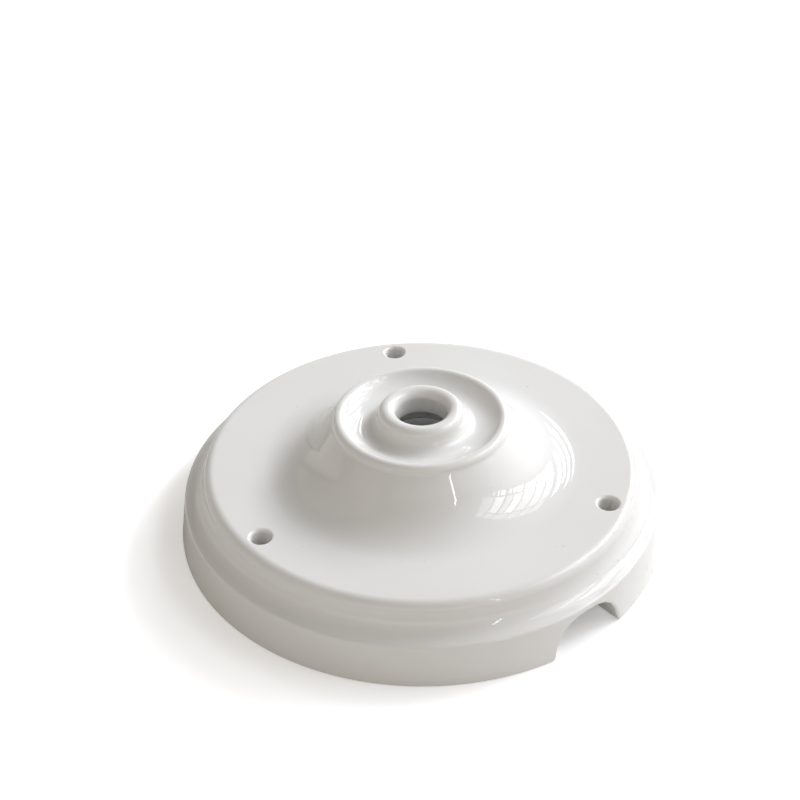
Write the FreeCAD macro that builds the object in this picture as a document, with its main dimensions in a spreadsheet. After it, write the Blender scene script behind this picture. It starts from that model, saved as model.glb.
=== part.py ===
"""Ceiling rose for a pendant lamp, one piece of glazed porcelain.

The rose is a shallow round cover that is screwed to the ceiling over the cable outlet.
A bell shaped boss rises from a flat disc, with a bead ring round its top, and inside
the ring a collar takes the tube or grip that carries the lamp. The disc steps down
through a cove to an upright band, and the band has an arched mouth for a surface cable.
Underneath it is hollow, as the punch of the press leaves it, with a recess for the nut
of the lamp tube and a post round each screw hole.

Units are millimetres. The base plane is z = 0, the axis of the rose is Z, the boss
points along +Z, and the cable mouth opens along -Y.
"""
import FreeCAD, Part
import math
import os

import Sketcher

Vector = FreeCAD.Vector

# Driving dimensions: name, value, meaning
SIZES = [
    ("base_dia", 105.0, "outer diameter on the ceiling"),
    ("band_height", 9.2, "height of the upright band of the rim"),
    ("band_taper", 1.2, "how far the band leans in over its height"),
    ("band_round", 0.7, "edge on top of the band"),
    ("ledge_slope", 20.0, "fall of the ledge above the band, in degrees"),
    ("disc_inset", 4.4, "from the top of the band in to the edge of the disc"),
    ("cove_round", 4.57, "hollow between the ledge and the edge of the disc"),
    ("disc_round", 2.2, "edge of the disc"),
    ("boss_rise", 11.8, "from the disc up to the bead ring"),
    ("flank_slope", 51.5, "steepest slope of the boss, in degrees"),
    ("foot_round", 14.8, "hollow sweep at the foot of the boss"),
    ("flank_round", 150.0, "slight swell of the flank of the boss"),
    ("neck_round", 1.2, "corner between the bead ring and the shoulder"),
    ("bead_dia", 35.0, "crest of the bead ring"),
    ("bead_round", 1.3, "rounding of the bead ring"),
    ("trough_depth", 2.45, "from the bead ring down to the trough"),
    ("collar_rise", 2.0, "from the bead ring up to the lip of the collar"),
    ("lip_outside", 1.7, "outer rounding of the lip"),
    ("lip_inside", 2.0, "inner rounding of the lip"),
    ("bore_dia", 10.8, "centre hole, for a tube with M10 thread"),
    ("bore_length", 5.4, "from the lip to the seat of the nut"),
    ("nut_recess_dia", 17.0, "recess for the nut under the centre hole"),
    ("shell_wall", 5.0, "thickness of the disc and of the top of the boss"),
    ("rim_wall", 6.0, "thickness of the rim at the ceiling"),
    ("rim_draft", 0.6, "lean of the inner wall of the rim"),
    ("rim_depth", 5.0, "height of the inner wall of the rim"),
    ("haunch_run", 5.4, "slope between the rim and the disc, inside"),
    ("bell_foot_dia", 55.0, "hollow of the boss where it leaves the disc"),
    ("bell_top_dia", 32.6, "hollow of the boss at its top"),
    ("screw_count", 3, "screw holes in the disc"),
    ("screw_offset", 28.0, "from the cable mouth round to the first screw, in degrees"),
    ("screw_land", 0.1, "flat left between a screw hole and the edge of the disc"),
    ("screw_dia", 4.2, "screw hole"),
    ("screw_mouth", 0.7, "bevel at the mouth of a screw hole"),
    ("post_dia", 11.0, "post round a screw hole, underneath"),
    ("post_bite", 0.4, "how far a post runs into the disc"),
    ("mouth_width", 17.4, "cable mouth in the rim"),
    ("mouth_cover", 1.3, "rim left above the cable mouth"),
    ("mouth_flat", 2.4, "flat crown between the shoulders of the arch"),
    ("mouth_round", 0.5, "outer edge of the arch"),
]

doc = FreeCAD.newDocument("ceiling_rose")
sheet = doc.addObject("Spreadsheet::Sheet", "sizes")
sheet.set("A1", "name")
sheet.set("B1", "value")
sheet.set("C1", "meaning")
for row, (alias, value, meaning) in enumerate(SIZES, start=2):
    sheet.set(f"A{row}", alias)
    sheet.set(f"B{row}", str(value))
    sheet.setAlias(f"B{row}", alias)
    sheet.set(f"C{row}", meaning)
doc.recompute()
size = {alias: float(value) for alias, value, _ in SIZES}

# The order in which a sketch counts the points of a curve and its own axes
POINTS = ("start", "end", "centre")
AXES = ("level axis", "upright axis")

rose = doc.addObject("PartDesign::Body", "rose_body")
rose.Label = "rose_body"


def origin_item(role):
    """Find a plane or axis of the body's own origin, such as XZ_Plane or Z_Axis."""
    return next(item for item in rose.Origin.OriginFeatures if item.Role == role)


def add_sketch(name, role):
    """Make a sketch that lies on an origin plane of the body."""
    sketch = rose.newObject("Sketcher::SketchObject", name)
    sketch.AttachmentSupport = [(origin_item(role), "")]
    sketch.MapMode = "FlatFace"
    return sketch


def add_line(sketch, start, end, guide=False):
    """Draw a line between two points (across, up) and return its number."""
    return sketch.addGeometry(Part.LineSegment(Vector(*start, 0), Vector(*end, 0)), guide)


def add_arc(sketch, centre, radius, first, last):
    """Draw an arc that runs anticlockwise from one angle to another, in degrees."""
    circle = Part.Circle(Vector(*centre, 0), Vector(0, 0, 1), radius)
    arc = Part.ArcOfCircle(circle, math.radians(first), math.radians(last))
    return sketch.addGeometry(arc, False)


def code(item):
    """Return the number by which a sketch knows a named point or axis, or a curve."""
    if item in POINTS:
        return POINTS.index(item) + 1
    if item in AXES:
        return -AXES.index(item) - 1
    return item


def hold(sketch, kind, *items):
    """Add a constraint between curves, given by number, and their points, by name."""
    return sketch.addConstraint(Sketcher.Constraint(kind, *map(code, items)))


def bind(sketch, kind, items, value, formula):
    """Add a constraint with a size and tie that size to the sheet."""
    number = hold(sketch, kind, *items, value)
    sketch.setExpression(f"Constraints[{number}]", formula)


def at_height(sketch, curve, point, value, formula):
    """Hold the height of one point of a curve above the base plane."""
    bind(sketch, "DistanceY", ("level axis", "start", curve, point), value, formula)


def at_radius(sketch, curve, point, value, formula):
    """Hold the distance of one point of a curve from the axis."""
    bind(sketch, "DistanceX", ("level axis", "start", curve, point), value, formula)


def polar(centre, radius, angle):
    """Return the point of a circle at an angle in degrees."""
    turn = math.radians(angle)
    return (centre[0] + radius * math.cos(turn), centre[1] + radius * math.sin(turn))


def bearing(centre, point):
    """Return the angle in degrees, 0 to 360, at which a point lies from a centre."""
    return math.degrees(math.atan2(point[1] - centre[1], point[0] - centre[0])) % 360


# Radii and levels that follow from the sizes, as values to draw with
ledge_fall = math.radians(size["ledge_slope"])
base_r = size["base_dia"] / 2
band_r = base_r - size["band_taper"]
edge_r = band_r - size["disc_inset"]
bead_r = size["bead_dia"] / 2
bore_r = size["bore_dia"] / 2
lip_r = bore_r + size["lip_inside"]
collar_r = lip_r + size["lip_outside"]
rim_r = base_r - size["rim_wall"]
screw_flat_r = edge_r - size["disc_round"] - size["screw_land"]
screw_r = screw_flat_r - size["screw_mouth"] - size["screw_dia"] / 2
ledge_top = size["band_height"] + size["disc_inset"] * math.tan(ledge_fall)
cove_rise = size["cove_round"] * math.tan(math.radians(45) - ledge_fall / 2)
disc_z = ledge_top + cove_rise + size["disc_round"]
bead_z = disc_z + size["boss_rise"]
trough_z = bead_z - size["trough_depth"]
lip_z = bead_z + size["collar_rise"]
nut_z = lip_z - size["bore_length"]
roof_z = disc_z - size["shell_wall"]
dome_z = trough_z - size["shell_wall"]
mouth_z = size["band_height"] - size["mouth_cover"]

# The same radii and levels as formulas of the sheet
RIM_R = "sizes.base_dia / 2 - sizes.rim_wall"
EDGE_R = "sizes.base_dia / 2 - sizes.band_taper - sizes.disc_inset"
SCREW_FLAT_R = f"{EDGE_R} - sizes.disc_round - sizes.screw_land"
SCREW_R = f"{SCREW_FLAT_R} - sizes.screw_mouth - sizes.screw_dia / 2"
LEDGE_TOP = "sizes.band_height + sizes.disc_inset * tan(sizes.ledge_slope * 1 deg)"
COVE_RISE = "sizes.cove_round * tan(45 deg - sizes.ledge_slope * 0.5 deg)"
DISC_Z = f"{LEDGE_TOP} + {COVE_RISE} + sizes.disc_round"
BEAD_Z = f"{DISC_Z} + sizes.boss_rise"
TROUGH_Z = f"{BEAD_Z} - sizes.trough_depth"
LIP_Z = f"{BEAD_Z} + sizes.collar_rise"
ROOF_Z = f"{DISC_Z} - sizes.shell_wall"
MOUTH_Z = "sizes.band_height - sizes.mouth_cover"


def draw_collar(sketch):
    """Draw the bore, the lip and the sweep from the collar into the trough."""
    inside, outside = size["lip_inside"], size["lip_outside"]
    sweep = lip_z - outside - trough_z
    bore = add_line(sketch, (bore_r, nut_z), (bore_r, lip_z - inside))
    lip_in = add_arc(sketch, (lip_r, lip_z - inside), inside, 90, 180)
    lip_out = add_arc(sketch, (lip_r, lip_z - outside), outside, 0, 90)
    hollow = add_arc(sketch, (collar_r + sweep, trough_z + sweep), sweep, 180, 290)
    hold(sketch, "Tangent", bore, "end", lip_in, "end")
    hold(sketch, "Tangent", lip_in, "start", lip_out, "end")
    hold(sketch, "Tangent", lip_out, "start", hollow, "start")
    hold(sketch, "Vertical", bore)
    hold(sketch, "Horizontal", lip_out, "centre", lip_out, "start")
    bind(sketch, "Radius", (lip_in,), inside, "sizes.lip_inside")
    bind(sketch, "Radius", (lip_out,), outside, "sizes.lip_outside")
    bind(sketch, "Radius", (hollow,), sweep, f"{LIP_Z} - sizes.lip_outside - ({TROUGH_Z})")
    at_radius(sketch, bore, "start", bore_r, "sizes.bore_dia / 2")
    at_height(sketch, bore, "start", nut_z, f"{LIP_Z} - sizes.bore_length")
    at_radius(sketch, lip_in, "start", lip_r, "sizes.bore_dia / 2 + sizes.lip_inside")
    at_height(sketch, lip_in, "start", lip_z, LIP_Z)
    return bore, hollow


def draw_bead(sketch, hollow):
    """Draw the straight rise out of the trough and the bead ring."""
    crest = size["bead_round"]
    sweep = lip_z - size["lip_outside"] - trough_z
    hollow_centre = (collar_r + sweep, trough_z + sweep)
    bead_centre = (bead_r, bead_z - crest)
    turn = math.degrees(math.asin((sweep + crest) / math.dist(hollow_centre, bead_centre)))
    slope = bearing(hollow_centre, bead_centre) - 360 + turn
    start = polar(hollow_centre, sweep, slope - 90)
    ramp = add_line(sketch, start, polar(bead_centre, crest, slope + 90))
    bead = add_arc(sketch, bead_centre, crest, 0, slope + 90)
    hold(sketch, "Tangent", hollow, "end", ramp, "start")
    hold(sketch, "Tangent", ramp, "end", bead, "end")
    hold(sketch, "Horizontal", bead, "centre", bead, "start")
    bind(sketch, "Radius", (bead,), crest, "sizes.bead_round")
    at_radius(sketch, bead, "centre", bead_r, "sizes.bead_dia / 2")
    at_height(sketch, bead, "centre", bead_centre[1], f"{BEAD_Z} - sizes.bead_round")
    return bead


def draw_boss(sketch, bead):
    """Draw the neck, the nearly straight flank and the hollow foot of the boss."""
    corner, full, sweep = size["neck_round"], size["flank_round"], size["foot_round"]
    slope = math.radians(size["flank_slope"])
    neck_centre = (bead_r + size["bead_round"] + corner, bead_z - size["bead_round"])
    full_z = disc_z + sweep - (full + sweep) * math.cos(slope)
    full_r = neck_centre[0] - math.sqrt((full + corner) ** 2 - (neck_centre[1] - full_z) ** 2)
    full_centre = (full_r, full_z)
    foot_centre = (full_r + (full + sweep) * math.sin(slope), disc_z + sweep)
    top = bearing(full_centre, neck_centre)
    turn = 90 - size["flank_slope"]
    neck = add_arc(sketch, neck_centre, corner, 180, top + 180)
    flank = add_arc(sketch, full_centre, full, turn, top)
    foot = add_arc(sketch, foot_centre, sweep, turn + 180, 270)
    spoke = add_line(sketch, full_centre, foot_centre, guide=True)
    hold(sketch, "Tangent", bead, "start", neck, "start")
    hold(sketch, "Tangent", neck, "end", flank, "end")
    hold(sketch, "Tangent", flank, "start", foot, "start")
    hold(sketch, "Coincident", spoke, "start", flank, "centre")
    hold(sketch, "Coincident", spoke, "end", foot, "centre")
    bind(sketch, "Radius", (neck,), corner, "sizes.neck_round")
    bind(sketch, "Radius", (flank,), full, "sizes.flank_round")
    bind(sketch, "Radius", (foot,), sweep, "sizes.foot_round")
    bind(sketch, "Angle", (spoke,), math.radians(turn), "90 deg - sizes.flank_slope * 1 deg")
    at_height(sketch, foot, "end", disc_z, DISC_Z)
    return foot, (foot_centre[0], disc_z)


def draw_rim(sketch, foot, foot_end):
    """Draw the disc, its edge, the cove, the ledge, the band and the base."""
    edge, top, hollow = size["disc_round"], size["band_round"], size["cove_round"]
    slope = size["ledge_slope"]
    lean = math.degrees(math.atan2(size["band_taper"], size["band_height"]))
    edge_z = disc_z - edge
    cove_centre = (edge_r + hollow, edge_z)
    brow = (band_r, size["band_height"])
    reach = top * math.tan(math.radians(90 - lean - slope) / 2)
    ledge_end = polar(brow, reach, 180 - slope)
    band_start = polar(brow, reach, 270 + lean)
    top_centre = polar(ledge_end, top, 270 - slope)
    disc = add_line(sketch, foot_end, (edge_r - edge, disc_z))
    round_over = add_arc(sketch, (edge_r - edge, edge_z), edge, 0, 90)
    cove = add_arc(sketch, cove_centre, hollow, 180, 270 - slope)
    ledge = add_line(sketch, polar(cove_centre, hollow, 270 - slope), ledge_end)
    top_edge = add_arc(sketch, top_centre, top, lean, 90 - slope)
    band = add_line(sketch, band_start, (base_r, 0))
    base = add_line(sketch, (base_r, 0), (rim_r, 0))
    brow_point = sketch.addGeometry(Part.Point(Vector(*brow, 0)), True)
    hold(sketch, "Tangent", foot, "end", disc, "start")
    hold(sketch, "Tangent", disc, "end", round_over, "end")
    hold(sketch, "Tangent", round_over, "start", cove, "start")
    hold(sketch, "Tangent", cove, "end", ledge, "start")
    hold(sketch, "Tangent", ledge, "end", top_edge, "end")
    hold(sketch, "Tangent", top_edge, "start", band, "start")
    hold(sketch, "Coincident", band, "end", base, "start")
    hold(sketch, "Horizontal", disc)
    hold(sketch, "Horizontal", round_over, "centre", round_over, "start")
    hold(sketch, "PointOnObject", base, "start", "level axis")
    hold(sketch, "PointOnObject", brow_point, "start", ledge)
    hold(sketch, "PointOnObject", brow_point, "start", band)
    bind(sketch, "Radius", (round_over,), edge, "sizes.disc_round")
    bind(sketch, "Radius", (top_edge,), top, "sizes.band_round")
    bind(sketch, "Angle", (ledge,), -ledge_fall, "-sizes.ledge_slope * 1 deg")
    at_radius(sketch, round_over, "start", edge_r, EDGE_R)
    at_radius(sketch, brow_point, "start", band_r, "sizes.base_dia / 2 - sizes.band_taper")
    at_height(sketch, brow_point, "start", brow[1], "sizes.band_height")
    at_radius(sketch, base, "start", base_r, "sizes.base_dia / 2")
    return base


def draw_hollow(sketch, base, bore):
    """Draw the underside from the rim to the nut recess and close the section."""
    haunch_r = rim_r - size["rim_draft"]
    roof_r = haunch_r - size["haunch_run"]
    corners = [
        (rim_r, 0),
        (haunch_r, size["rim_depth"]),
        (roof_r, roof_z),
        (size["bell_foot_dia"] / 2, roof_z),
        (size["bell_top_dia"] / 2, dome_z),
        (size["nut_recess_dia"] / 2, dome_z),
        (size["nut_recess_dia"] / 2, nut_z),
        (bore_r, nut_z),
    ]
    sides = [add_line(sketch, *ends) for ends in zip(corners, corners[1:])]
    rim, haunch, roof, bell, dome, recess, seat = sides
    hold(sketch, "Coincident", base, "end", rim, "start")
    for before, after in zip(sides, sides[1:]):
        hold(sketch, "Coincident", before, "end", after, "start")
    hold(sketch, "Coincident", seat, "end", bore, "start")
    hold(sketch, "PointOnObject", rim, "start", "level axis")
    hold(sketch, "Vertical", recess)
    for level in (roof, dome, seat):
        hold(sketch, "Horizontal", level)
    at_radius(sketch, rim, "start", rim_r, RIM_R)
    at_radius(sketch, rim, "end", haunch_r, f"{RIM_R} - sizes.rim_draft")
    at_height(sketch, rim, "end", size["rim_depth"], "sizes.rim_depth")
    at_radius(sketch, haunch, "end", roof_r, f"{RIM_R} - sizes.rim_draft - sizes.haunch_run")
    at_height(sketch, haunch, "end", roof_z, ROOF_Z)
    at_radius(sketch, bell, "start", size["bell_foot_dia"] / 2, "sizes.bell_foot_dia / 2")
    at_radius(sketch, bell, "end", size["bell_top_dia"] / 2, "sizes.bell_top_dia / 2")
    at_height(sketch, bell, "end", dome_z, f"{TROUGH_Z} - sizes.shell_wall")
    at_radius(sketch, recess, "start", size["nut_recess_dia"] / 2, "sizes.nut_recess_dia / 2")


def turn_section():
    """Draw the whole section and turn it about the axis."""
    sketch = add_sketch("section", "XZ_Plane")
    bore, hollow = draw_collar(sketch)
    bead = draw_bead(sketch, hollow)
    foot, foot_end = draw_boss(sketch, bead)
    base = draw_rim(sketch, foot, foot_end)
    draw_hollow(sketch, base, bore)
    doc.recompute()
    shell = rose.newObject("PartDesign::Revolution", "turned_shell")
    shell.Profile = sketch
    shell.ReferenceAxis = (sketch, ["V_Axis"])
    shell.Angle = 360
    sketch.Visibility = False
    doc.recompute()


def spot_circle(sketch, diameter, formula):
    """Draw a circle where the first screw hole goes."""
    turn = size["screw_offset"] - 90
    spot = polar((0, 0), screw_r, turn)
    spoke = add_line(sketch, (0, 0), spot, guide=True)
    ring = sketch.addGeometry(Part.Circle(Vector(*spot, 0), Vector(0, 0, 1), diameter / 2), False)
    hold(sketch, "Coincident", spoke, "start", "level axis", "start")
    hold(sketch, "Coincident", ring, "centre", spoke, "end")
    bind(sketch, "Distance", (spoke,), screw_r, SCREW_R)
    bind(sketch, "Angle", (spoke,), math.radians(turn), "(sizes.screw_offset - 90) * 1 deg")
    bind(sketch, "Diameter", (ring,), diameter, formula)


def repeat_round(name, feature):
    """Repeat a feature evenly about the axis, once for each screw."""
    pattern = rose.newObject("PartDesign::PolarPattern", name)
    pattern.Originals = [feature]
    pattern.Axis = (origin_item("Z_Axis"), [""])
    pattern.Angle = 360
    pattern.setExpression("Occurrences", "sizes.screw_count")
    rose.Tip = pattern
    doc.recompute()


def add_posts():
    """Raise the posts that stand round the screw holes, from the base to the disc."""
    sketch = add_sketch("post_outline", "XY_Plane")
    spot_circle(sketch, size["post_dia"], "sizes.post_dia")
    post = rose.newObject("PartDesign::Pad", "post")
    post.Profile = sketch
    post.setExpression("Length", f"{ROOF_Z} + sizes.post_bite")
    sketch.Visibility = False
    doc.recompute()
    repeat_round("posts", post)


def cut_screw_holes():
    """Cut the screw holes through the disc and the posts."""
    sketch = add_sketch("screw_outline", "XY_Plane")
    spot_circle(sketch, size["screw_dia"], "sizes.screw_dia")
    hole = rose.newObject("PartDesign::Pocket", "screw_hole")
    hole.Profile = sketch
    hole.Type = "ThroughAll"
    hole.Reversed = True
    sketch.Visibility = False
    doc.recompute()
    repeat_round("screw_holes", hole)


def cut_cable_mouth():
    """Cut the arched mouth through the rim, on the -Y side."""
    half, flat = size["mouth_width"] / 2, size["mouth_flat"] / 2
    corner = half - flat
    spring, depth = mouth_z - corner, size["band_height"]
    sketch = add_sketch("mouth_outline", "XZ_Plane")
    left = add_line(sketch, (-half, -depth), (-half, spring))
    left_turn = add_arc(sketch, (-flat, spring), corner, 90, 180)
    top = add_line(sketch, (-flat, mouth_z), (flat, mouth_z))
    right_turn = add_arc(sketch, (flat, spring), corner, 0, 90)
    right = add_line(sketch, (half, spring), (half, -depth))
    sill = add_line(sketch, (half, -depth), (-half, -depth))
    hold(sketch, "Tangent", left, "end", left_turn, "end")
    hold(sketch, "Tangent", left_turn, "start", top, "start")
    hold(sketch, "Tangent", top, "end", right_turn, "end")
    hold(sketch, "Tangent", right_turn, "start", right, "start")
    hold(sketch, "Coincident", right, "end", sill, "start")
    hold(sketch, "Coincident", sill, "end", left, "start")
    hold(sketch, "Horizontal", top)
    hold(sketch, "Vertical", left)
    hold(sketch, "Vertical", right)
    hold(sketch, "Equal", left_turn, right_turn)
    hold(sketch, "Symmetric", sill, "start", sill, "end", "upright axis")
    bind(sketch, "DistanceX", (sill, "end", sill, "start"), 2 * half, "sizes.mouth_width")
    bind(sketch, "DistanceX", (top, "start", top, "end"), 2 * flat, "sizes.mouth_flat")
    at_height(sketch, top, "start", mouth_z, MOUTH_Z)
    at_height(sketch, sill, "start", -depth, "-sizes.band_height")
    mouth = rose.newObject("PartDesign::Pocket", "cable_mouth")
    mouth.Profile = sketch
    mouth.Type = "ThroughAll"
    mouth.Reversed = True
    sketch.Visibility = False
    doc.recompute()


def on_screw_hole(vertex):
    """Tell whether a corner of the solid lies on the wall of one of the screw holes."""
    turns = [360 / size["screw_count"] * number for number in range(int(size["screw_count"]))]
    spots = [polar((0, 0), screw_r, size["screw_offset"] - 90 + turn) for turn in turns]
    reaches = [math.dist((vertex.X, vertex.Y), spot) for spot in spots]
    return any(math.isclose(reach, size["screw_dia"] / 2, abs_tol=1e-3) for reach in reaches)


def is_screw_mouth(edge):
    """Tell whether an edge is the rim of a screw hole on the outside of the disc."""
    return all(vertex.Z > roof_z and on_screw_hole(vertex) for vertex in edge.Vertexes)


def is_mouth_edge(edge):
    """Tell whether an edge runs round the cable mouth on the outside of the band."""
    half, middle_r = size["mouth_width"] / 2, (rim_r + band_r) / 2
    outside = all(math.hypot(vertex.X, vertex.Y) > middle_r for vertex in edge.Vertexes)
    within = all(vertex.Y < 0 and abs(vertex.X) <= half + 1e-3 for vertex in edge.Vertexes)
    return outside and within


def finish_edges(kind, name, wanted, measure, formula):
    """Put a fillet or a chamfer on the edges of the body that a test picks out."""
    before = rose.Tip
    edges = enumerate(before.Shape.Edges, start=1)
    picked = [f"Edge{number}" for number, edge in edges if wanted(edge)]
    feature = rose.newObject(f"PartDesign::{kind}", name)
    feature.Base = (before, picked)
    feature.setExpression(measure, formula)
    rose.Tip = feature
    doc.recompute()


def check_and_write():
    """Make sure that everything is sound and that the rose is one solid, then write it."""
    for item in doc.Objects:
        if "Invalid" in item.State or "Error" in item.State:
            raise ValueError(f"{item.Label} did not build")
    solids = rose.Shape.Solids
    if rose.Shape.isNull() or not rose.Shape.isValid() or len(solids) != 1:
        raise ValueError("the rose is not one sound solid")
    os.makedirs("parts", exist_ok=True)
    solids[0].exportStep(f"parts/{rose.Label}.step")


turn_section()
add_posts()
cut_cable_mouth()
cut_screw_holes()
finish_edges("Chamfer", "screw_mouths", is_screw_mouth, "Size", "sizes.screw_mouth")
finish_edges("Fillet", "mouth_edge", is_mouth_edge, "Radius", "sizes.mouth_round")
check_and_write()
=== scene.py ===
"""Looks of the porcelain ceiling rose: its glazed body, the window light and the camera.

The rose is one piece. Its section is drawn point by point and spun about the axis, the
cable mouth is shaped by raising the rim along an arch, and the posts and screw holes are
joined and cut afterwards. Sizes are in millimetres and turn into metres as a point is set.
"""

import logging
import math
from dataclasses import dataclass, field
from enum import Enum
from typing import Any, Iterable, Optional, Union

import bpy
from mathutils import Matrix, Vector
from mathutils.kdtree import KDTree


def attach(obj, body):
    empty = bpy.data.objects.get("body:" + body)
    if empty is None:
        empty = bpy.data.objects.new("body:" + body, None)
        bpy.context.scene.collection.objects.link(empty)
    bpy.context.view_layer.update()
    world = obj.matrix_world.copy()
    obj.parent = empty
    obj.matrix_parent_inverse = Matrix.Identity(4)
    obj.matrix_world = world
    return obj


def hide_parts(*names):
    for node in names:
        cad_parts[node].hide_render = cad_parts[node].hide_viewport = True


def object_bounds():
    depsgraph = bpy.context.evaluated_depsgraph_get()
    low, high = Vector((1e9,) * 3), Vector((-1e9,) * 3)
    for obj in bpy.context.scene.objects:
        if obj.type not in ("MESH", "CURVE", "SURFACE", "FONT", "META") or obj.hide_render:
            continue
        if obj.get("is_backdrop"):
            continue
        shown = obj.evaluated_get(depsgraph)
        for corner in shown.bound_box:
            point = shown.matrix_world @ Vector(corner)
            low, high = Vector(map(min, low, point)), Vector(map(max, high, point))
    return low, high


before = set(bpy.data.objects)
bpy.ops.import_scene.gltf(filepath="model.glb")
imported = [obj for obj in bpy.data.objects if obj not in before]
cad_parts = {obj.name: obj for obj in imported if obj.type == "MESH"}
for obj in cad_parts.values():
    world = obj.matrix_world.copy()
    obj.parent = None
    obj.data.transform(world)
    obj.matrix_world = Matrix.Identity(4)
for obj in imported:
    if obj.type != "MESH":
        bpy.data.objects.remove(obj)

MM = 0.001
WELD = 0.003 * MM  # points of a mesh that lie closer than this are merged
NEAR = 0.02  # points of a section that lie closer than this, in millimetres, are one
Pair = tuple[float, float]
Colour = tuple[float, float, float, float]
log = logging.getLogger("ceiling_rose")


class Zone(Enum):
    """The parts of the shell, in the order in which the section runs through them."""

    CROWN = "collar, bead ring, boss and disc"
    SLOPE = "edge of the disc, cove and ledge"
    BAND = "upright band of the rim"
    EDGE = "rounded outer edge of the rim"
    SOLE = "face that lies on the ceiling"
    HEEL = "rounded inner edge of the rim"
    WALL = "inside of the rim up to the roof"
    ROOF = "underside of the disc"
    HOLLOW = "inside of the boss and the nut recess"


@dataclass(frozen=True)
class Spot:
    """A point of the section, with its part of the shell and how far along that part it is."""

    r: float
    z: float
    zone: Zone
    share: float = 0.0


@dataclass(frozen=True)
class Arc:
    """An arc of the section, drawn from one angle to another, in degrees."""

    centre: Pair
    radius: float
    first: float
    last: float
    steps: int

    def points(self) -> list[Pair]:
        """Return the points of the arc, both ends included."""
        sweep = self.last - self.first
        turns = [self.first + sweep * i / self.steps for i in range(self.steps + 1)]
        angles = [math.radians(turn) for turn in turns]
        return [
            (self.centre[0] + self.radius * math.cos(a), self.centre[1] + self.radius * math.sin(a))
            for a in angles
        ]


@dataclass(frozen=True)
class Rail:
    """A run of points that can be walked along by length or found by height."""

    points: list[Pair]

    def lengths(self) -> list[float]:
        """Return how far each point is along the run."""
        total = [0.0]
        for before, after in zip(self.points, self.points[1:]):
            total.append(total[-1] + math.dist(before, after))
        return total

    def at(self, length: float) -> Pair:
        """Return the point at a length along the run.

        Args:
            length: Distance from the first point.

        Returns:
            The point (r, z), held to the ends of the run.
        """
        marks = self.lengths()
        for i, mark in enumerate(marks[1:], start=1):
            if length <= mark or i == len(marks) - 1:
                part = min(max((length - marks[i - 1]) / (mark - marks[i - 1]), 0.0), 1.0)
                a, b = self.points[i - 1], self.points[i]
                return (a[0] + (b[0] - a[0]) * part, a[1] + (b[1] - a[1]) * part)
        return self.points[-1]

    def find(self, height: float) -> float:
        """Return the length at which the run, which only rises, reaches a height.

        Args:
            height: The z to look for.

        Returns:
            The distance from the first point.
        """
        marks = self.lengths()
        for i in range(1, len(self.points)):
            low, high = self.points[i - 1][1], self.points[i][1]
            if height <= high:
                return marks[i - 1] + (marks[i] - marks[i - 1]) * (height - low) / (high - low)
        return marks[-1]


def rounded(before: Pair, corner: Pair, after: Pair, radius: float, steps: int) -> list[Pair]:
    """Round a corner of the section.

    Args:
        before: The point before the corner.
        corner: The corner itself.
        after: The point after it.
        radius: Radius of the rounding.
        steps: Number of pieces of the rounding.

    Returns:
        The points of the rounding, from one tangent point to the other.
    """
    start = (Vector(before) - Vector(corner)).normalized()
    end = (Vector(after) - Vector(corner)).normalized()
    half = start.angle(end) / 2
    centre = Vector(corner) + (start + end).normalized() * (radius / math.sin(half))
    first = Vector(corner) + start * (radius / math.tan(half)) - centre
    last = Vector(corner) + end * (radius / math.tan(half)) - centre
    turn = first.angle_signed(last)
    angle = math.atan2(first.y, first.x)
    angles = [angle - turn * i / steps for i in range(steps + 1)]
    return [(centre.x + radius * math.cos(a), centre.y + radius * math.sin(a)) for a in angles]


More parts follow.
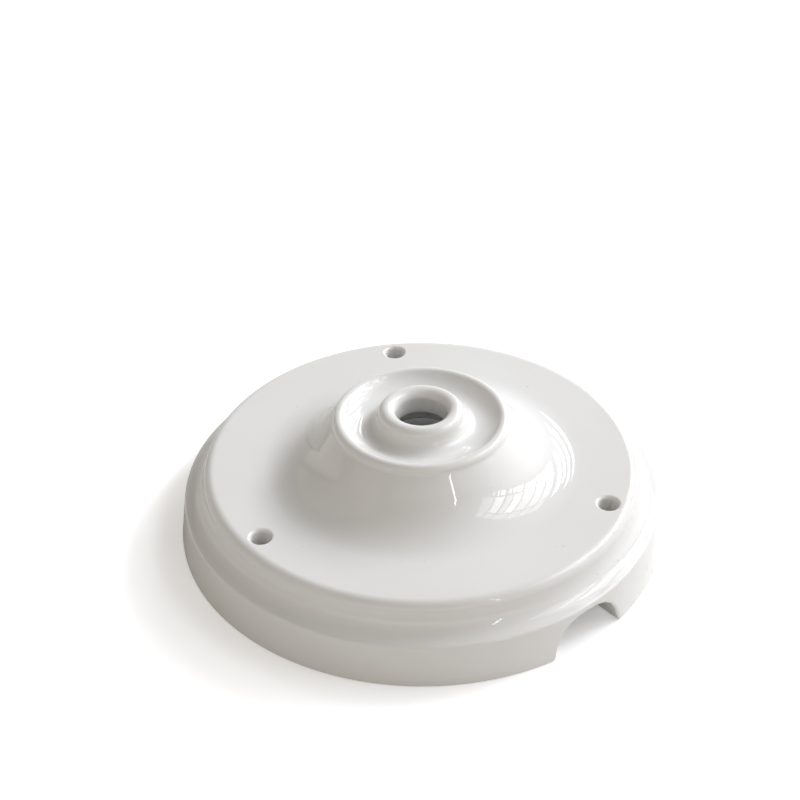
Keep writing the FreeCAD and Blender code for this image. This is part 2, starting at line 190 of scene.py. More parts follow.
class Bench:
    """Shaping moves in edit mode, each made on what is selected."""

    @staticmethod
    def clear() -> None:
        """Leave nothing selected and no edit mode open."""
        if bpy.context.object is not None and bpy.context.object.mode != "OBJECT":
            bpy.ops.object.mode_set(mode="OBJECT")
        bpy.ops.object.select_all(action="DESELECT")

    @staticmethod
    def take(piece: bpy.types.Object) -> None:
        """Make one piece the only selected and the active one."""
        Bench.clear()
        piece.select_set(True)
        bpy.context.view_layer.objects.active = piece

    @staticmethod
    def draw(name: str, points: list[Vector]) -> bpy.types.Object:
        """Draw a run of edges, starting from a plane that is drawn together to its first point.

        Args:
            name: Name of the new piece.
            points: Places of the points, in metres.

        Returns:
            The new piece, left in edit mode with all of it selected.
        """
        Bench.clear()
        bpy.ops.mesh.primitive_plane_add(size=2 * MM, location=points[0])
        piece = bpy.context.object
        piece.name = piece.data.name = name
        bpy.ops.object.transform_apply(location=True, rotation=True, scale=True)
        bpy.ops.object.mode_set(mode="EDIT")
        bpy.ops.mesh.select_all(action="SELECT")
        bpy.ops.mesh.merge(type="CENTER")
        for before, after in zip(points, points[1:]):
            bpy.ops.mesh.extrude_vertices_move(TRANSFORM_OT_translate={"value": after - before})
        bpy.ops.mesh.select_all(action="SELECT")
        return piece

    @staticmethod
    def spin(centre: Vector, stages: Iterable[tuple[int, float]]) -> None:
        """Spin the selected edges about an upright axis, in one stage or several.

        Args:
            centre: A point of the axis.
            stages: Steps and angle in degrees of each stage.
        """
        for steps, angle in stages:
            bpy.ops.mesh.spin(
                steps=steps, angle=math.radians(angle), center=centre, axis=(0.0, 0.0, 1.0)
            )

    @staticmethod
    def close() -> None:
        """Merge the doubles, turn the faces outward and leave edit mode."""
        bpy.ops.mesh.select_all(action="SELECT")
        bpy.ops.mesh.remove_doubles(threshold=WELD)
        bpy.ops.mesh.normals_make_consistent(inside=False)
        bpy.ops.object.mode_set(mode="OBJECT")

    @staticmethod
    def combine(piece: bpy.types.Object, tool: bpy.types.Object, how: str) -> None:
        """Join a tool to a piece, or cut it out of the piece, and take the tool away.

        Args:
            piece: The piece that stays.
            tool: The shape that is joined or cut out.
            how: UNION or DIFFERENCE.
        """
        Bench.take(piece)
        change = piece.modifiers.new(tool.name, "BOOLEAN")
        change.operation = how
        change.solver = "EXACT"
        change.object = tool
        bpy.ops.object.modifier_apply(modifier=change.name)
        bpy.data.meshes.remove(tool.data)


@dataclass
class CableMouth:
    """The arched mouth in the rim, on the -Y side, and how the columns of the mesh run to it."""

    crown: float = 7.9
    flat: float = 1.2
    corner: float = 7.5
    toe: float = 0.8
    edge: float = 0.62
    rim_edge: float = 0.4
    heel: float = 0.35
    arch_steps: int = 20
    toe_steps: int = 6
    column: float = 0.4
    reach: float = 30.0
    spread: float = 1.5
    base_r: float = 52.5
    band_lean: float = 1.2 / 9.2
    slack: float = 0.01

    def band_r(self, z: float) -> float:
        """Return the radius of the band at a height."""
        return self.base_r - self.band_lean * z

    def steps(self) -> int:
        """Return how many columns from the middle the mouth ends."""
        return self.arch_steps + self.toe_steps

    def fanned(self, turn: float) -> float:
        """Return the bearing to which a column leans at the top of the band.

        Args:
            turn: Bearing of the column from the middle of the mouth, in degrees.

        Returns:
            The bearing there, in degrees.
        """
        end = self.steps() * self.column
        if turn <= end:
            return turn * self.spread
        part = (turn - end) / (self.reach - end)
        return end * self.spread + (self.reach - end * self.spread) * part

    def station(self, turn: float) -> tuple[float, float, float, float, float, float]:
        """Return where a column meets the arch or the base.

        Args:
            turn: Bearing of the column from the middle of the mouth, in degrees, not below 0.

        Returns:
            Place across and up, the direction into the rim across and up, the rounding of
            the edge, and the direction in which the column runs inward, in degrees.
        """
        centre_z = self.crown - self.corner
        toe_x = self.flat + math.sqrt((self.corner + self.toe) ** 2 - (self.toe - centre_z) ** 2)
        low = math.atan2(self.toe - centre_z, toe_x - self.flat)
        arc = self.corner * (math.pi / 2 - low)
        step = turn / self.column
        if step <= self.arch_steps:
            way = (self.flat + arc) * step / self.arch_steps
            if way <= self.flat:
                return (way, self.crown, 0.0, 1.0, self.edge, 0.0)
            angle = math.pi / 2 - (way - self.flat) / self.corner
            across, up = math.cos(angle), math.sin(angle)
            return (
                self.flat + self.corner * across,
                centre_z + self.corner * up,
                across,
                up,
                self.edge,
                0.0,
            )
        if step <= self.steps() + self.slack:
            part = min((step - self.arch_steps) / self.toe_steps, 1.0)
            angle = math.pi + low + (math.pi / 2 - low) * part
            across, up = math.cos(angle), math.sin(angle)
            edge = self.edge + (self.rim_edge - self.edge) * part
            return (toe_x + self.toe * across, self.toe * (1 + up), -across, -up, edge, 0.0)
        end = self.steps() * self.column
        inward = self.reach * (turn - end) / (self.reach - end)
        across = self.base_r * math.sin(math.radians(turn))
        return (across, 0.0, 0.0, 1.0, self.rim_edge, inward)

    def place(self, turn: float, spot: Spot, inside: Rail, band_top: float) -> Vector:
        """Return where a point of the rim goes, so that the rim clears the mouth.

        Args:
            turn: Bearing of its column from the middle of the mouth, in degrees.
            spot: The point of the section that it comes from.
            inside: The inside of the rim, from the base to the roof.
            band_top: Height at which the band ends.

        Returns:
            The place in millimetres.
        """
        side = -1.0 if turn < 0 else 1.0
        turn = abs(turn)
        fan = math.radians(self.fanned(turn))
        if spot.zone in (Zone.SLOPE, Zone.ROOF):
            weight = spot.share if spot.zone is Zone.SLOPE else 1 - spot.share
            angle = math.radians(turn) + (fan - math.radians(turn)) * weight
            return Vector((side * spot.r * math.sin(angle), -spot.r * math.cos(angle), spot.z))
        x, z, across, up, edge, inward = self.station(turn)
        inward = math.radians(inward)
        run = Vector((-math.sin(inward), math.cos(inward)))
        start = math.asin(x / self.band_r(z))
        if spot.zone in (Zone.BAND, Zone.EDGE):
            bend = math.radians(90 * (1 - spot.share)) if spot.zone is Zone.EDGE else math.pi / 2
            lift = edge * (1 - math.cos(bend))
            height = z + lift * up
            angle = start + lift * across / self.band_r(height)
            if spot.zone is Zone.BAND:
                angle = fan + (angle - fan) * spot.share
                height = band_top + (height - band_top) * spot.share
            radius = self.band_r(height)
            flat = Vector((radius * math.sin(angle), -radius * math.cos(angle)))
            flat += run * edge * (1 - math.sin(bend))
            return Vector((side * flat.x, flat.y, height))
        outer = Vector((x, -self.band_r(z) * math.cos(start)))
        inner_r = inside.at(inside.find(z))[0]
        along = outer.dot(run)
        depth = -along - math.sqrt(along**2 - outer.dot(outer) + inner_r**2)
        if spot.zone is Zone.SOLE:
            flat = outer + run * (edge + (depth - self.heel - edge) * spot.share)
            return Vector((side * flat.x, flat.y, z))
        inner = outer + run * depth
        bend = math.radians(90 * spot.share) if spot.zone is Zone.HEEL else math.pi / 2
        lift = self.heel * (1 - math.cos(bend))
        length = inside.find(z + lift * up)
        angle = math.atan2(inner.x, -inner.y) + lift * across / inner_r
        if spot.zone is Zone.WALL:
            end = inside.lengths()[-1]
            length += (end - length) * spot.share
            angle += (fan - angle) * spot.share
        radius, height = inside.at(length)
        flat = Vector((radius * math.sin(angle), -radius * math.cos(angle)))
        flat -= run * self.heel * (1 - math.sin(bend))
        return Vector((side * flat.x, flat.y, height))


@dataclass
class Section:
    """Half section of the rose, from the seat of the nut over the outside and back underneath."""

    bore_r: float = 5.4
    seat_z: float = 24.6
    lip_z: float = 30.0
    bore_marks: Pair = (1.7, 0.85)  # above the seat: the first point of the bore, then the step
    band_top: float = 8.783
    lip_in: Arc = Arc((7.4, 28.0), 2.0, 180.0, 90.0, 12)
    lip_out: Arc = Arc((7.4, 28.3), 1.7, 90.0, 0.0, 12)
    trough: Arc = Arc((11.85, 28.3), 2.75, 180.0, 278.0, 14)
    wall: Arc = Arc((11.101, 33.632), 8.134, 278.0, 312.7, 12)
    bead: Arc = Arc((17.5, 26.7), 1.3, 132.7, 0.0, 14)
    neck: Arc = Arc((20.0, 26.7), 1.2, 180.0, 220.55, 6)
    flank: Arc = Arc((-94.87, -71.59), 150.0, 40.55, 38.5, 8)
    foot: Arc = Arc((34.08, 31.0), 14.8, 218.5, 270.0, 18)
    disc_marks: tuple[float, ...] = (34.4, 35.4, 37.4, 39.6, 41.8, 43.2, 44.4)
    disc_edge: Arc = Arc((44.7, 14.0), 2.2, 90.0, 0.0, 12)
    cove: Arc = Arc((51.47, 14.0), 4.57, 180.0, 250.0, 12)
    ledge_mark: float = 0.45
    brow: Pair = (51.3, 9.2)
    brow_round: float = 0.7
    brow_steps: int = 8
    band_run: float = 1.2
    band_steps: int = 10
    edge_steps: int = 6
    sole_steps: int = 5
    heel_steps: int = 4
    roof_steps: int = 5
    rim_inner_r: float = 46.5
    rim_lean: float = 0.12
    rim_mark: Pair = (46.26, 2.0)
    haunch_marks: Pair = (0.9, 1.03)  # from the middle of the haunch, across and up
    hollow: tuple[tuple[float, float, float, int], ...] = (
        (45.9, 5.0, 2.0, 4),
        (40.5, 11.2, 2.2, 6),
        (27.5, 11.2, 2.0, 6),
        (16.3, 20.55, 2.5, 6),
        (8.5, 20.55, 0.6, 4),
        (8.5, 24.6, 0.4, 3),
        (5.4, 24.6, 0.3, 3),
    )

    def outside(self) -> list[Spot]:
        """Return the outside, from the bore down to the end of the slope above the band."""
        start, step = self.bore_marks
        crown = [(self.bore_r, self.seat_z + start + i * step) for i in range(2)]
        top = (self.lip_in, self.lip_out, self.trough, self.wall, self.bead)
        for arc in (*top, self.neck, self.flank, self.foot):
            crown += arc.points()
        disc_z = crown[-1][1]
        crown += [(mark, disc_z) for mark in self.disc_marks]
        slope = self.disc_edge.points() + self.cove.points()
        ledge, brow = slope[-1], self.brow
        way = [(high - low) * self.ledge_mark for low, high in zip(ledge, brow)]
        slope.append((ledge[0] + way[0], ledge[1] + way[1]))
        base = (brow[0] + self.band_run, 0.0)
        slope += rounded(ledge, brow, base, self.brow_round, self.brow_steps)
        slope = tidy(slope)
        spots = [Spot(*point, Zone.CROWN) for point in tidy(crown)]
        spots += [Spot(*point, Zone.SLOPE, i / (len(slope) - 1)) for i, point in enumerate(slope)]
        return spots

    def rim(self, mouth: CableMouth) -> list[Spot]:
        """Return the band and the face of the rim, down to its rounded inner edge.

        Args:
            mouth: The mouth, which gives the roundings of the rim.

        Returns:
            The points of the band, the outer edge, the sole and the inner edge.
        """
        top, foot = self.band_top, mouth.rim_edge
        spots = []
        for step in range(1, self.band_steps + 1):
            height = top + (foot - top) * step / self.band_steps
            spots.append(Spot(mouth.band_r(height), height, Zone.BAND, step / self.band_steps))
        for step in range(1, self.edge_steps + 1):
            bend = math.radians(90 * (1 - step / self.edge_steps))
            height = foot * (1 - math.cos(bend))
            radius = mouth.band_r(height) - foot * (1 - math.sin(bend))
            spots.append(Spot(radius, height, Zone.EDGE, step / self.edge_steps))
        outer, inner = mouth.base_r - foot, self.rim_inner_r + mouth.heel
        for step in range(1, self.sole_steps + 1):
            radius = outer + (inner - outer) * step / self.sole_steps
            spots.append(Spot(radius, 0.0, Zone.SOLE, step / self.sole_steps))
        for step in range(1, self.heel_steps + 1):
            bend = math.radians(90 * step / self.heel_steps)
            height = mouth.heel * (1 - math.cos(bend))
            radius = self.rim_inner_r - self.rim_lean * height + mouth.heel * (1 - math.sin(bend))
            spots.append(Spot(radius, height, Zone.HEEL, step / self.heel_steps))
        return spots

    def inside(self, mouth: CableMouth) -> Rail:
        """Return the inside of the rim, from the base up to where the roof is level.

        Args:
            mouth: The mouth, which gives the height where the wall starts.

        Returns:
            The run of points, from the base plane to the roof.
        """
        base = (self.rim_inner_r, 0.0)
        foot, haunch, roof = (corner[:2] for corner in self.hollow[:3])
        points = [base, (base[0] - self.rim_lean * mouth.heel, mouth.heel), self.rim_mark]
        points += rounded(base, foot, haunch, *self.hollow[0][2:])
        r, z = (foot[0] + haunch[0]) / 2, (foot[1] + haunch[1]) / 2
        across, up = self.haunch_marks
        points += [(r + across, z - up), (r - across, z + up)]
        points += rounded(foot, haunch, roof, *self.hollow[1][2:])
        return Rail(points)

    def underside(self, mouth: CableMouth) -> list[Spot]:
        """Return the hollow, from the inner edge of the rim back to the bore.

        Args:
            mouth: The mouth, which gives the height where the wall starts.

        Returns:
            The points of the wall, the roof and the hollow of the boss.
        """
        rail = self.inside(mouth)
        marks = rail.lengths()
        start, end = marks[1], marks[-1]
        spots = [
            Spot(*point, Zone.WALL, (mark - start) / (end - start))
            for point, mark in zip(rail.points[2:], marks[2:])
        ]
        corners = self.hollow
        leave = rounded(corners[1][:2], corners[2][:2], corners[3][:2], *corners[2][2:])
        first, last = rail.points[-1][0], leave[0][0]
        steps, roof_z = self.roof_steps, corners[1][1]
        reaches = [first + (last - first) * i / steps for i in range(1, steps)] + [last]
        spots += [Spot(r, roof_z, Zone.ROOF, i / steps) for i, r in enumerate(reaches, start=1)]
        rest = leave[1:]
        ends = [corner[:2] for corner in corners] + [(self.bore_r, self.lip_z)]
        for i in range(3, len(corners)):
            rest += rounded(ends[i - 1], ends[i], ends[i + 1], *corners[i][2:])
        return spots + [Spot(*point, Zone.HOLLOW) for point in rest]


def tidy(points: list[Pair]) -> list[Pair]:
    """Drop each point that repeats the one before it."""
    kept = points[:1]
    for point in points[1:]:
        if math.dist(point, kept[-1]) > NEAR:
            kept.append(point)
    return kept


@dataclass
class Screws:
    """The three screw holes with their rounded mouths, and the posts round them underneath."""

    count: int = 3
    circle_r: float = 41.8
    first: float = 298.0
    hole_r: float = 2.1
    mouth: float = 0.75
    mouth_end: float = 100.0
    mouth_steps: int = 9
    disc_z: float = 16.2
    tool_foot: float = -2.0
    tool_mark: float = 6.0
    tool_over: float = 2.0
    post_r: float = 5.5
    post_foot: float = 0.05
    post_edge: float = 0.5
    post_edge_steps: int = 5
    post_top: float = 11.6
    round_steps: int = 72

    def centres(self) -> list[Vector]:
        """Return the middle of each screw hole on the base plane, in millimetres."""
        turns = [math.radians(self.first + 360 / self.count * i) for i in range(self.count)]
        return [Vector((math.cos(a), math.sin(a), 0.0)) * self.circle_r for a in turns]

    def hole_section(self) -> list[Pair]:
        """Return the section of a screw hole, which widens to the disc in a rounding."""
        centre = (self.hole_r + self.mouth, self.disc_z - self.mouth)
        flare = Arc(centre, self.mouth, 180, self.mouth_end, self.mouth_steps).points()
        low, high = self.tool_foot, self.disc_z + self.tool_over
        foot = [(0.0, low), (self.hole_r, low), (self.hole_r, self.tool_mark)]
        return foot + flare + [(flare[-1][0], high), (0.0, high)]

    def post_section(self) -> list[Pair]:
        """Return the section of a post, which stands in the hollow up to the disc."""
        centre = (self.post_r - self.post_edge, self.post_foot + self.post_edge)
        edge = Arc(centre, self.post_edge, 270, 360, self.post_edge_steps).points()
        top = [(self.post_r, self.post_top), (0.0, self.post_top)]
        return [(0.0, self.post_foot), *edge, *top]

    def turned(self, name: str, section: list[Pair], centre: Vector) -> bpy.types.Object:
        """Turn a section about one of the screws.

        Args:
            name: Name of the shape.
            section: Its section from axis to axis, as distance from the screw and height.
            centre: Place of the screw, in millimetres.

        Returns:
            The closed shape.
        """
        points = [(centre + Vector((reach, 0.0, height))) * MM for reach, height in section]
        shape = Bench.draw(name, points)
        Bench.spin(centre * MM, [(self.round_steps, 360.0)])
        Bench.close()
        return shape

    def work(self, body: bpy.types.Object) -> None:
        """Join the posts to the body and cut the screw holes.

        Args:
            body: The turned body.
        """
        for centre in self.centres():
            Bench.combine(body, self.turned("post", self.post_section(), centre), "UNION")
        for centre in self.centres():
            Bench.combine(body, self.turned("hole", self.hole_section(), centre), "DIFFERENCE")


@dataclass
class Rose:
    """The porcelain body, turned, raised over the cable mouth, drilled and dressed."""

    section: Section = field(default_factory=Section)
    mouth: CableMouth = field(default_factory=CableMouth)
    screws: Screws = field(default_factory=Screws)
    plain_steps: int = 200
    smooth_angle: float = 32.0

    def spots(self) -> list[Spot]:
        """Return the whole closed section."""
        run = self.section.outside() + self.section.rim(self.mouth)
        return run + self.section.underside(self.mouth)

    def build(self) -> bpy.types.Object:
        """Make the body.

        Returns:
            The finished piece, not yet dressed.
        """
        spots = self.spots()
        start = math.radians(270 + self.mouth.reach)
        ring = [Vector((s.r * math.cos(start), s.r * math.sin(start), s.z)) * MM for s in spots]
        body = Bench.draw("porcelain", ring + ring[:1])
        wide = 2 * self.mouth.reach
        stages = [(self.plain_steps, 360 - wide), (round(wide / self.mouth.column), wide)]
        Bench.spin(Vector((0.0, 0.0, 0.0)), stages)
        Bench.close()
        self.raise_rim(body, spots)
        self.screws.work(body)
        Bench.take(body)
        bpy.ops.object.shade_smooth_by_angle(angle=math.radians(self.smooth_angle))
        log.info("porcelain: %d faces", len(body.data.polygons))
        return body

    def raise_rim(self, body: bpy.types.Object, spots: list[Spot]) -> None:
        """Raise the rim over the cable mouth, column by column.

        Args:
            body: The spun body.
            spots: The section that it was spun from.
        """
        inside = self.section.inside(self.mouth)
        tree = KDTree(len(spots))
        for number, spot in enumerate(spots):
            tree.insert((spot.r, 0.0, spot.z), number)
        tree.balance()
        moved = (Zone.SLOPE, Zone.BAND, Zone.EDGE, Zone.SOLE, Zone.HEEL, Zone.WALL, Zone.ROOF)
        for vertex in body.data.vertices:
            place = vertex.co / MM
            turn = math.degrees(math.atan2(place.x, -place.y))
            if abs(turn) > self.mouth.reach - self.mouth.column / 2:
                continue
            number = tree.find((math.hypot(place.x, place.y), 0.0, place.z))[1]
            if spots[number].zone in moved:
                goal = self.mouth.place(turn, spots[number], inside, self.section.band_top)
                vertex.co = goal * MM
        body.data.update()

    def dress(self, body: bpy.types.Object, glaze: "Glaze") -> None:
        """Give the body its glaze and tie it to the frame.

        Args:
            body: The finished body.
            glaze: Its finish.
        """
        body.data.materials.clear()
        body.data.materials.append(glaze.material())
        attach(body, "root")
        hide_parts("rose_body")
        log.info("porcelain: glazed and tied to the frame")


class Wire:
    """A socket of a material, with the operators that its shader maths is written in."""

    def __init__(self, board: "Board", socket: bpy.types.NodeSocket) -> None:
        """Keep a socket and the board that it is on."""
        self.board = board
        self.socket = socket

    def _sum(self, kind: str, first: Any, second: Any) -> "Wire":
        """Add a Math node for two values."""
        return self.board.add("ShaderNodeMath", {"operation": kind}, {0: first, 1: second})

    def __add__(self, other: Any) -> "Wire":
        """Add."""
        return self._sum("ADD", self, other)

    def __rsub__(self, other: Any) -> "Wire":
        """Subtract from a number."""
        return self._sum("SUBTRACT", other, self)

    def __mul__(self, other: Any) -> "Wire":
        """Multiply."""
        return self._sum("MULTIPLY", self, other)

    def __gt__(self, other: Any) -> "Wire":
        """Tell where this is the larger, as 1 or 0."""
        return self._sum("GREATER_THAN", self, other)

    __radd__ = __add__
    __rmul__ = __mul__


class Board:
    """The nodes of one material or of the world."""

    def __init__(self, owner: Union[bpy.types.Material, bpy.types.World]) -> None:
        """Start with an empty set of nodes."""
        owner.use_nodes = True
        self.tree = owner.node_tree
        self.tree.nodes.clear()

    def add(
        self,
        kind: str,
        settings: Optional[dict[str, Any]] = None,
        sockets: Optional[dict[Any, Any]] = None,
        out: Union[int, str] = 0,
    ) -> Wire:
        """Add any node.

        Args:
            kind: The type of the node.
            settings: Its settings, set first.
            sockets: Values or wires for its inputs, by name or number.
            out: The output that is wanted.

        Returns:
            That output as a wire.
        """
        node = self.tree.nodes.new(kind)
        for name, value in (settings or {}).items():
            setattr(node, name, value)
        for key, value in (sockets or {}).items():
            if isinstance(value, Wire):
                self.tree.links.new(value.socket, node.inputs[key])
            else:
                node.inputs[key].default_value = value
        return Wire(self, node.outputs[out]) if len(node.outputs) else Wire(self, node.inputs[0])

    def blend(self, part: Any, first: Any, second: Any) -> Wire:
        """Blend two colours.

        Args:
            part: How much of the second colour shows.
            first: The colour at 0.
            second: The colour at 1.

        Returns:
            The blended colour.
        """
        sockets = {"Factor": part, "A": first, "B": second}
        return self.add("ShaderNodeMix", {"data_type": "RGBA"}, sockets, "Result")

    def ramp(self, value: Wire, low: float, high: float) -> Wire:
        """Spread the values between two levels over 0 to 1.

        Args:
            value: The value to spread.
            low: The level that becomes 0.
            high: The level that becomes 1.

        Returns:
            The new value, held to 0 and 1.
        """
        sockets = {"Value": value, "From Min": low, "From Max": high, "To Min": 0.0, "To Max": 1.0}
        return self.add("ShaderNodeMapRange", {"clamp": True}, sockets)

    def noise(self, where: Wire, scale: float, detail: float) -> Wire:
        """Return a soft noise.

        Args:
            where: The place that is read.
            scale: How many waves it has to a metre.
            detail: How many finer layers it has, each half as strong as the one before.

        Returns:
            The noise, about 0 to 1.
        """
        sockets = {"Vector": where, "Scale": scale, "Detail": detail, "Roughness": 0.5}
        return self.add("ShaderNodeTexNoise", {}, sockets)

    def clouds(self, where: Wire, scale: float, detail: float, low: float, high: float) -> Wire:
        """Return the parts of a soft noise that rise above a level.

        Args:
            where: The place that is read.
            scale: How many waves the noise has to a metre.
            detail: How many finer layers it has.
            low: The level that becomes 0.
            high: The level that becomes 1.

        Returns:
            The clouds, from 0 to 1.
        """
        return self.ramp(self.noise(where, scale, detail), low, high)


@dataclass(frozen=True)
class Glaze:
    """White porcelain under a clear glaze, bare where it stands on the kiln shelf.

    Noises are given by scale and detail, clouds also by the levels that become 0 and 1.
    """

    white: Colour = (0.80, 0.797, 0.785, 1.0)
    cream: Colour = (0.765, 0.757, 0.738, 1.0)
    bare: Colour = (0.70, 0.68, 0.64, 1.0)
    speck: Colour = (0.34, 0.29, 0.24, 1.0)
    cream_clouds: tuple[float, ...] = (22.0, 3.0, 0.35, 0.68)
    specks: tuple[float, ...] = (900.0, 0.0, 0.82, 0.85)
    speck_patches: tuple[float, ...] = (60.0, 1.0, 0.58, 0.64)
    speck_share: float = 0.2
    grain: Pair = (2600.0, 2.0)
    grain_share: float = 0.2
    waves: Pair = (55.0, 1.0)
    peel: Pair = (420.0, 1.0)
    peel_share: float = 0.06
    relief_share: float = 0.05
    relief: float = 0.06 * MM
    rough: float = 0.32
    bare_rough: float = 0.75
    body_ior: float = 1.5
    glaze_rough: float = 0.012
    glaze_ior: float = 1.52
    foot_mm: Pair = (0.072, 0.216)

    def material(self) -> bpy.types.Material:
        """Make the material.

        Returns:
            The material, with its nodes.
        """
        made = bpy.data.materials.new("glazed_porcelain")
        board = Board(made)
        place = board.add("ShaderNodeTexCoord", {}, {}, "Object")
        height = board.add("ShaderNodeSeparateXYZ", {}, {"Vector": place}, "Z")
        low, high = self.foot_mm
        foot = 1 - board.ramp(height, low * MM, high * MM)
        colour = board.blend(board.clouds(place, *self.cream_clouds), self.white, self.cream)
        specks = board.clouds(place, *self.specks) * board.clouds(place, *self.speck_patches)
        colour = board.blend(specks * self.speck_share, colour, self.speck)
        grain = board.noise(place, *self.grain)
        cover = (1 - self.grain_share) + self.grain_share * grain
        colour = board.blend(foot * cover, colour, self.bare)
        peel = board.noise(place, *self.peel) * self.peel_share
        relief = board.noise(place, *self.waves) + peel + foot * grain * self.relief_share
        sockets = {"Strength": 1.0, "Distance": self.relief, "Height": relief}
        bump = board.add("ShaderNodeBump", {}, sockets)
        surface = board.add(
            "ShaderNodeBsdfPrincipled",
            {},
            {
                "Base Color": colour,
                "Roughness": self.rough + foot * (self.bare_rough - self.rough),
                "IOR": self.body_ior,
                "Coat Weight": 1 - foot,
                "Coat Roughness": self.glaze_rough,
                "Coat IOR": self.glaze_ior,
                "Specular IOR Level": 0.0,
                "Normal": bump,
            },
        )
        board.add("ShaderNodeOutputMaterial", {}, {"Surface": surface})
        return made


@dataclass(frozen=True)
class Panes:
    """Window panes in the wall, side by side in one row.

    All measures are in distances of the wall, which stands square to the heading. Places
    along it count from the foot of the heading, to the left of someone who looks out.
    """

    name: str
    spans: tuple[Pair, ...]
    height: Pair
    levels: tuple[float, ...]


BAYS = ((0.355, 0.575), (0.625, 0.845), (0.9, 1.15))


@dataclass
class Studio:
    """The floor, the window wall to the right, the soft light of the room and the camera.

    Angles are in degrees, the floor and the distance of the walls in metres, and the reach
    of the camera in millimetres. A wall has its heading, its heights and its level.
    """

    heading: float = -37.0
    distance: float = 0.9
    windows: tuple[Panes, ...] = (
        Panes(
            "main",
            ((-0.52, -0.27), (-0.23, -0.05), (0.0, 0.12), (0.15, 0.31)),
            (0.79, 1.41),
            (1.9, 4.8, 2.9, 8.0),
        ),
        Panes("low", BAYS, (0.62, 1.0), (28.0, 28.0, 28.0)),
        Panes("high", BAYS, (1.0, 1.41), (3.2, 3.2, 3.2)),
        Panes(
            "head",
            ((-0.5, -0.3), (-0.23, -0.05), (0.0, 0.3), (0.36, 0.57), (0.63, 0.84), (0.9, 1.15)),
            (1.47, 1.77),
            (2.5, 2.5, 2.2, 2.2, 2.2, 2.2),
        ),
        Panes(
            "sill",
            ((-0.3, -0.25), (-0.2, -0.16), (-0.13, -0.05), (0.03, 0.08), (0.11, 0.16), (0.18, 0.3)),
            (0.6, 0.74),
            (3.0, 6.0, 7.0, 5.0, 6.0, 9.0),
        ),
        Panes("far", ((1.36, 1.56), (1.68, 1.88)), (0.7, 1.6), (9.5, 9.5)),
        Panes("farther", ((2.08, 2.36),), (0.75, 2.0), (7.0,)),
        Panes("farthest", ((2.76, 3.25),), (1.4, 2.4), (6.0,)),
        Panes("strip", ((-1.58, -1.5),), (0.75, 1.1), (12.0,)),
        Panes("strip_high", ((-1.6, -1.49),), (1.17, 1.7), (12.0,)),
    )
    key_colour: tuple[float, float, float] = (0.98, 1.0, 1.05)
    room_level: Colour = (0.128, 0.117, 0.1, 1.0)
    room_white: Colour = (1.0, 1.0, 1.0, 1.0)
    wall_colour: tuple[float, float, float] = (1.0, 0.93, 0.82)
    wall_length: float = 2.0
    walls: tuple[tuple[float, Pair, float], ...] = (
        (139.4, (0.5, 1.6), 0.4),
        (139.4, (0.0, 0.35), 0.5),
        (229.4, (0.35, 0.9), 0.2),
        (229.4, (0.0, 0.35), 0.92),
        (-40.6, (0.0, 0.5), 0.4),
    )
    floor_size: float = 14.0
    floor_lift: float = 0.48
    floor_white: Colour = (0.90, 0.90, 0.90, 1.0)
    # radii over which the floor's lift fades in; closer to the rose it is held back, which paints
    # shade on the floor round the rose and under the bore
    painted_shade_reach: Pair = (0.03, 0.06)
    view_heading: float = 229.4
    view_tilt: float = 39.32
    view_reach: float = 374.9
    view_aim: Pair = (0.7234, 3.953)
    view_near: float = 0.01
    film: float = 36.0
    lens: float = 76.13

    def lamp(
        self, name: str, heading: float, middle: Pair, size: Pair, level: float
    ) -> bpy.types.Light:
        """Hang a flat lamp upright before the rose.

        Args:
            name: Name of the lamp.
            heading: Azimuth in degrees that the lamp's wall is square to.
            middle: Its middle along the wall and its height, in distances of the wall.
            size: Its width and height, likewise.
            level: How bright it is, with white paper in it at 1.

        Returns:
            The lamp's light.
        """
        light = bpy.data.lights.new(name, "AREA")
        light.shape = "RECTANGLE"
        light.size, light.size_y = size[0] * self.distance, size[1] * self.distance
        light.energy = level * math.pi * light.size * light.size_y
        turn = math.radians(heading)
        out = Vector((math.cos(turn), math.sin(turn), 0.0))
        along = Vector((-math.sin(turn), math.cos(turn), 0.0))
        rise = Vector((0.0, 0.0, 1.0))
        piece = bpy.data.objects.new(name, light)
        bpy.context.collection.objects.link(piece)
        place = (out + along * middle[0] + rise * middle[1]) * self.distance
        axes = Matrix((along, rise, out)).transposed()
        piece.matrix_world = Matrix.Translation(place) @ axes.to_4x4()
        piece.visible_camera = False
        return light

    def hang(self, panes: Panes) -> None:
        """Hang a row of panes in the window wall.

        Args:
            panes: The row.
        """
        low, high = panes.height
        for number, ((left, right), level) in enumerate(zip(panes.spans, panes.levels)):
            middle, size = ((left + right) / 2, (low + high) / 2), (right - left, high - low)
            light = self.lamp(f"{panes.name}_{number}", self.heading, middle, size, level)
            light.color = self.key_colour

    def line_walls(self) -> None:
        """Hang the walls of the room, which give back some of the window light."""
        for number, (heading, (low, high), level) in enumerate(self.walls):
            middle, size = (0.0, (low + high) / 2), (self.wall_length, high - low)
            light = self.lamp(f"wall_{number}", heading, middle, size, level)
            light.color = self.wall_colour

    def room(self) -> None:
        """Light the room softly and show it white to the camera and in reflections."""
        world = bpy.data.worlds.new("room")
        bpy.context.scene.world = world
        board = Board(world)
        camera, glossy, through = (
            board.add("ShaderNodeLightPath", {}, {}, f"Is {kind} Ray")
            for kind in ("Camera", "Glossy", "Transmission")
        )
        seen = camera + glossy + through
        soft = board.add("ShaderNodeBackground", {}, {"Color": self.room_level})
        white = board.add("ShaderNodeBackground", {}, {"Color": self.room_white})
        mixed = board.add("ShaderNodeMixShader", {}, {0: seen > 0.5, 1: soft, 2: white})
        board.add("ShaderNodeOutputWorld", {}, {"Surface": mixed})

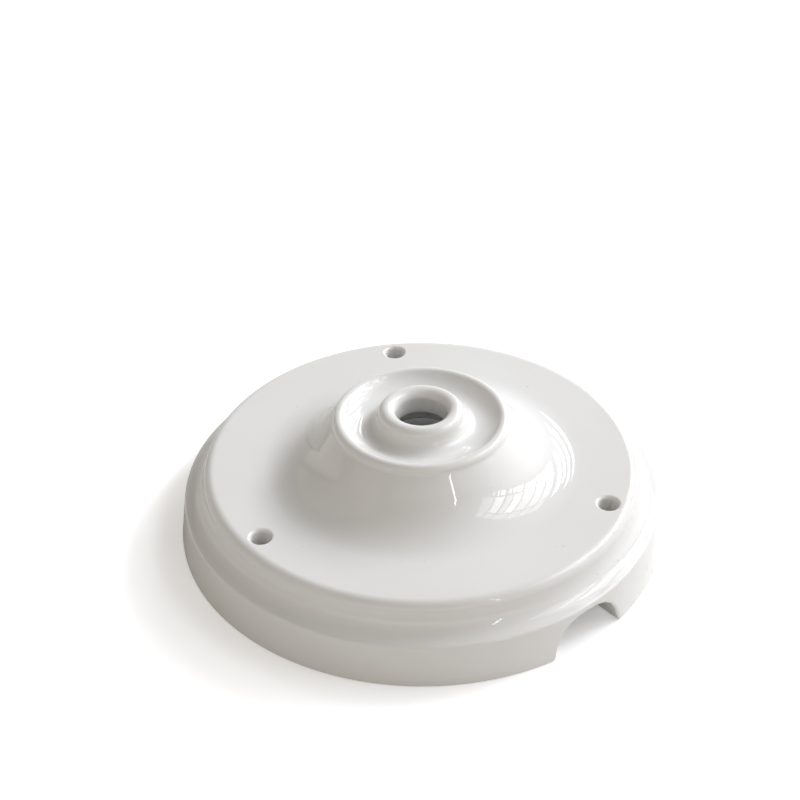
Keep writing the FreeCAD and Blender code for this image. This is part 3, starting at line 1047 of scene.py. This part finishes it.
    def floor(self) -> None:
        """Lay the pale floor, which the camera sees as white outside the shadow; near the rose its
        lift fades out, painting a darker ring of shade round the rose and under the bore.
        """
        Bench.clear()
        bpy.ops.mesh.primitive_plane_add(size=self.floor_size, location=(0.0, 0.0, 0.0))
        floor = bpy.context.object
        floor.name = "floor"
        made = bpy.data.materials.new("white_floor")
        board = Board(made)
        plain = board.add("ShaderNodeBsdfDiffuse", {}, {"Color": self.floor_white})
        glow = board.add("ShaderNodeEmission", {}, {"Strength": self.floor_lift})
        lifted = board.add("ShaderNodeAddShader", {}, {0: plain, 1: glow})
        camera = board.add("ShaderNodeLightPath", {}, {}, "Is Camera Ray")
        place = board.add("ShaderNodeTexCoord", {}, {}, "Object")
        reach = board.add("ShaderNodeVectorMath", {"operation": "LENGTH"}, {0: place}, "Value")
        # the lift shows to the camera only away from the rose; nearer in it fades out, a painted
        # shade round the rose and under the bore
        lift_past_painted_shade = camera * board.ramp(reach, *self.painted_shade_reach)
        mixed = board.add("ShaderNodeMixShader", {}, {0: lift_past_painted_shade, 1: plain, 2: lifted})
        board.add("ShaderNodeOutputMaterial", {}, {"Surface": mixed})
        floor.data.materials.append(made)
        floor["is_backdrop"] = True

    def camera(self) -> None:
        """Set the camera at the photograph's place."""
        turn, tilt = math.radians(self.view_heading), math.radians(self.view_tilt)
        flat, height = self.view_reach * math.cos(tilt), self.view_reach * math.sin(tilt)
        place = Vector((flat * math.cos(turn), flat * math.sin(turn), height))
        look = (-place).to_track_quat("-Z", "Y").to_matrix()
        aside, up = (math.radians(angle) for angle in self.view_aim)
        aim = Matrix.Rotation(aside, 3, "Y") @ Matrix.Rotation(up, 3, "X")
        data = bpy.data.cameras.new("camera")
        data.sensor_width = self.film
        data.lens = self.lens
        data.clip_start = self.view_near
        piece = bpy.data.objects.new("camera", data)
        bpy.context.collection.objects.link(piece)
        piece.matrix_world = Matrix.Translation(place * MM) @ (look @ aim).to_4x4()
        bpy.context.scene.camera = piece

    def build(self) -> None:
        """Set up the floor, the light and the camera."""
        self.camera()
        self.floor()
        self.room()
        self.line_walls()
        for panes in self.windows:
            self.hang(panes)
        bpy.context.scene.view_settings.view_transform = "Standard"
        log.info("studio: floor, window wall, room light and camera")


def corners() -> list[list[float]]:
    """Return the lowest and highest corner of what is shown, as plain lists."""
    return [list(corner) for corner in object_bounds()]


def main() -> None:
    """Build the studio and the rose."""
    logging.basicConfig(level=logging.INFO, format="%(message)s")
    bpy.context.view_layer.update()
    Studio().build()
    rose = Rose()
    body = rose.build()
    rose.dress(body, Glaze())


if __name__ == "__main__":
    main()
